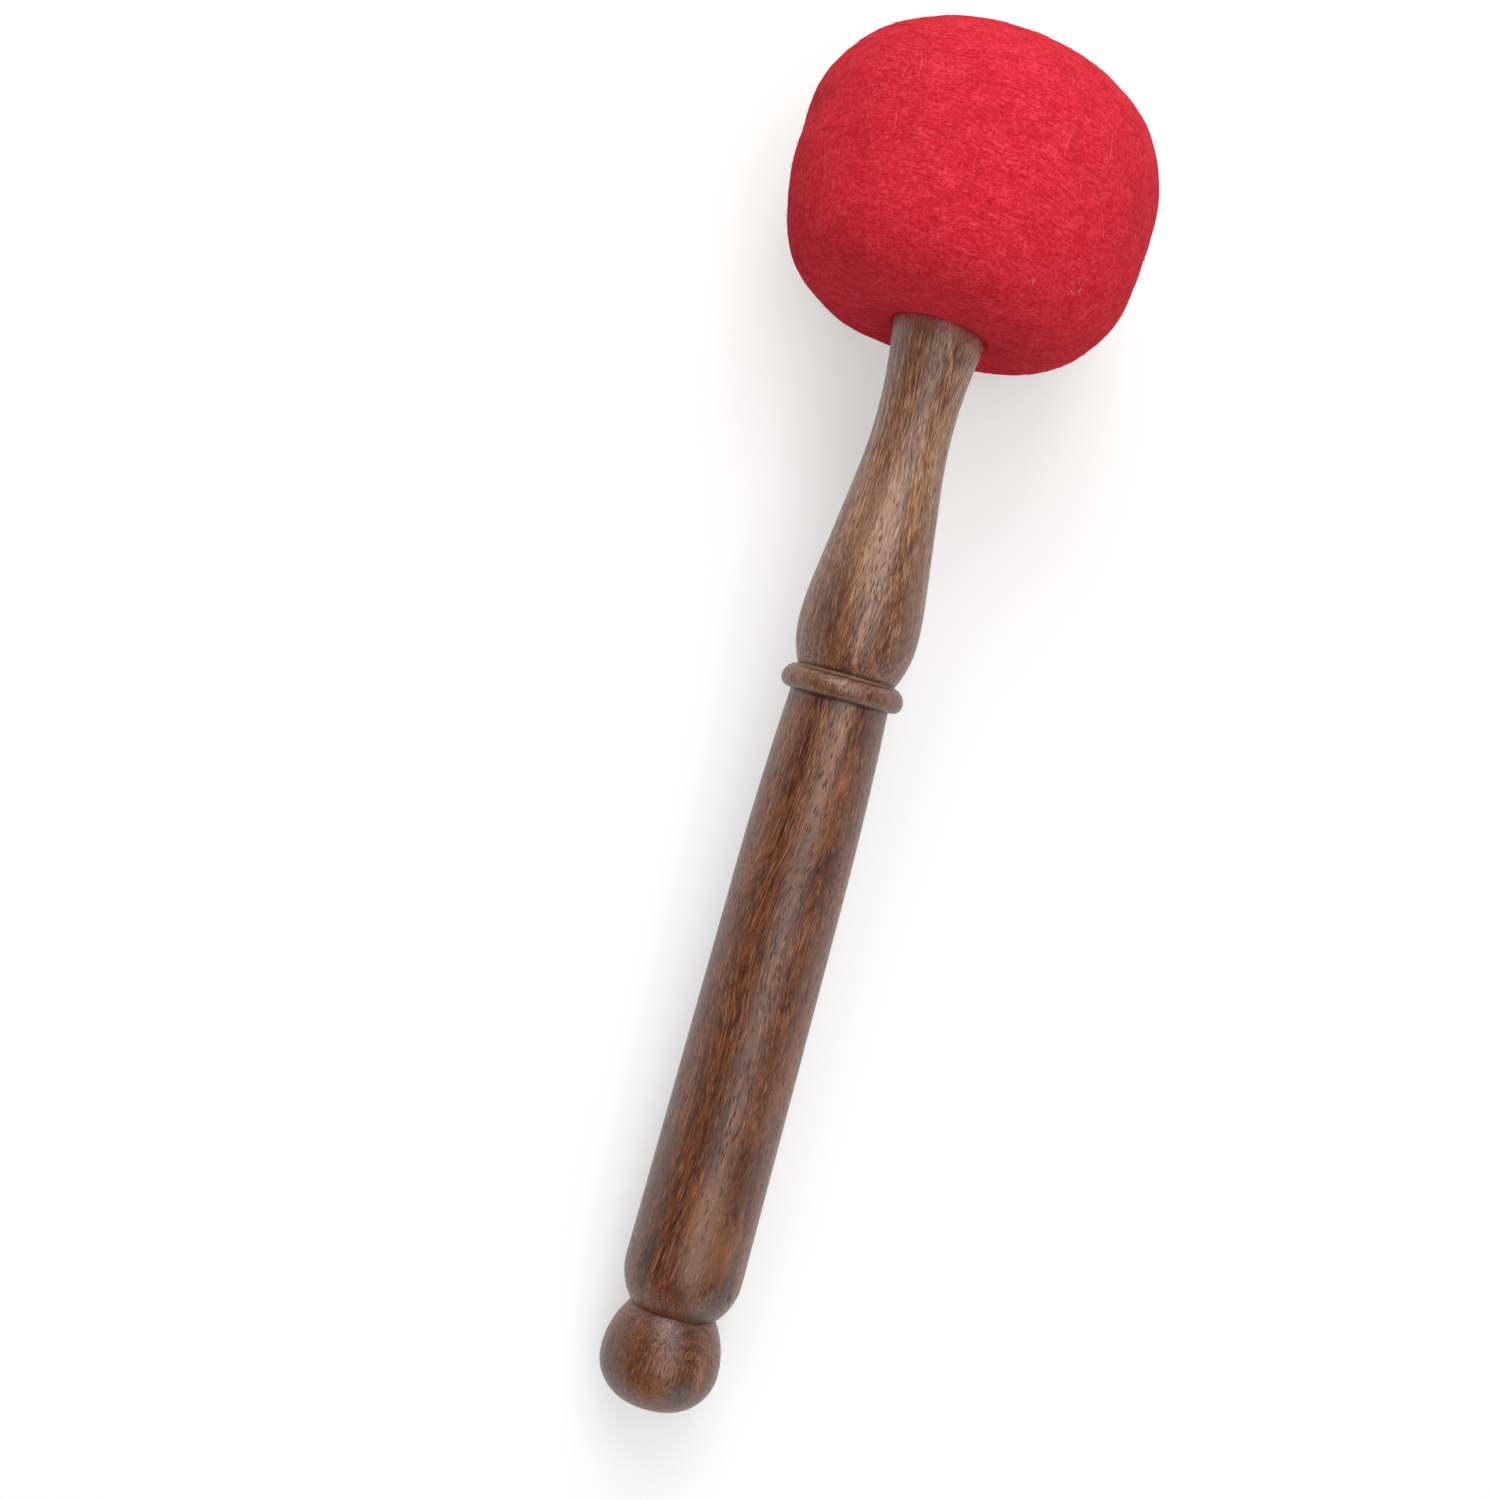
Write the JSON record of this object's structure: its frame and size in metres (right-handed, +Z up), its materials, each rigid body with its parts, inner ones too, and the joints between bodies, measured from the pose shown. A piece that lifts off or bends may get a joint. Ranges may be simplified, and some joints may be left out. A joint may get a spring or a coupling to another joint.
{
  "type": "singing bowl mallet",
  "caption": "Felted mallet: a ball head of red wool felt on a turned hardwood handle with a ball pommel, a tapered grip, a bead and a vase-shaped neck.",
  "frame": {"origin": "on the surface that the mallet lies on, under the middle of its bounding box", "axes": "+X along the surface from the pommel to the head, +Z up. The mallet lies as it rests, on the side of its head and the side of its pommel, so the handle's axis is in the XZ plane and climbs 5.67 degrees towards the head"},
  "size_m": [0.295, 0.076, 0.0758],
  "materials": {
    "oiled_sheesham": "turned, sanded and oiled, satin",
    "core_wood": "turned, bare",
    "zinc_steel": "zinc plated",
    "undyed_wool": "wound wool batting",
    "red_wool_felt": "needle-felted wool, matt and fibrous"
  },
  "bodies": {
    "root": {"handle": "oiled_sheesham", "head_core": "core_wood", "core_washer": "zinc_steel", "core_screw": "zinc_steel", "wool_padding": "undyed_wool", "felt_cover": "red_wool_felt"}
  },
  "joints": []
}
